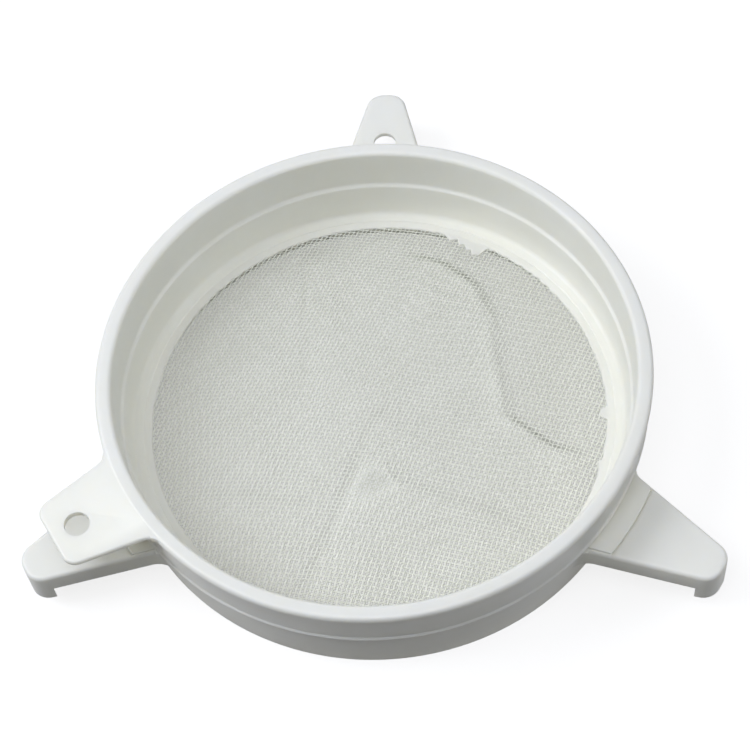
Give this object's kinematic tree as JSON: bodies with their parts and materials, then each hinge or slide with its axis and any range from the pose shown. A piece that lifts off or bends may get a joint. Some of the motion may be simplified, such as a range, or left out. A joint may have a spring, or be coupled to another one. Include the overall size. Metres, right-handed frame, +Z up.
{
  "type": "double sieve strainer",
  "caption": "Round two-tier honey strainer: an upper sieve with a hanging tab stands in a lower sieve whose hook arms rest on a bucket's rim; each pan has a woven nylon cloth as its floor.",
  "frame": {"origin": "centre of the whole part's outline in plan, on the plane that the lower pan's foot ring stands on; the pans' common axis is vertical through (0, -0.0247 m)", "axes": "+Z up along the pans' axis; +Y towards the back arm, the one with the hanging hole; +X to the right, seen from the front"},
  "size_m": [0.297, 0.2894, 0.052],
  "materials": {
    "lower_plastic": "satin white moulded polyethylene",
    "lower_nylon": "fine woven nylon monofilament, translucent white",
    "upper_plastic": "satin white moulded polyethylene",
    "upper_nylon": "coarse woven nylon monofilament, translucent white"
  },
  "bodies": {
    "lower_sieve": {"lower_sieve_frame": "lower_plastic", "lower_sieve_cloth": "lower_nylon"},
    "upper_sieve": {"upper_sieve_frame": "upper_plastic", "upper_sieve_cloth": "upper_nylon"}
  },
  "joints": [
    {"name": "upper_sieve_lift", "type": "slide", "parent": "lower_sieve", "child": "upper_sieve", "axis": [0, 0, 1], "range_m": [0, 0.06]}
  ]
}
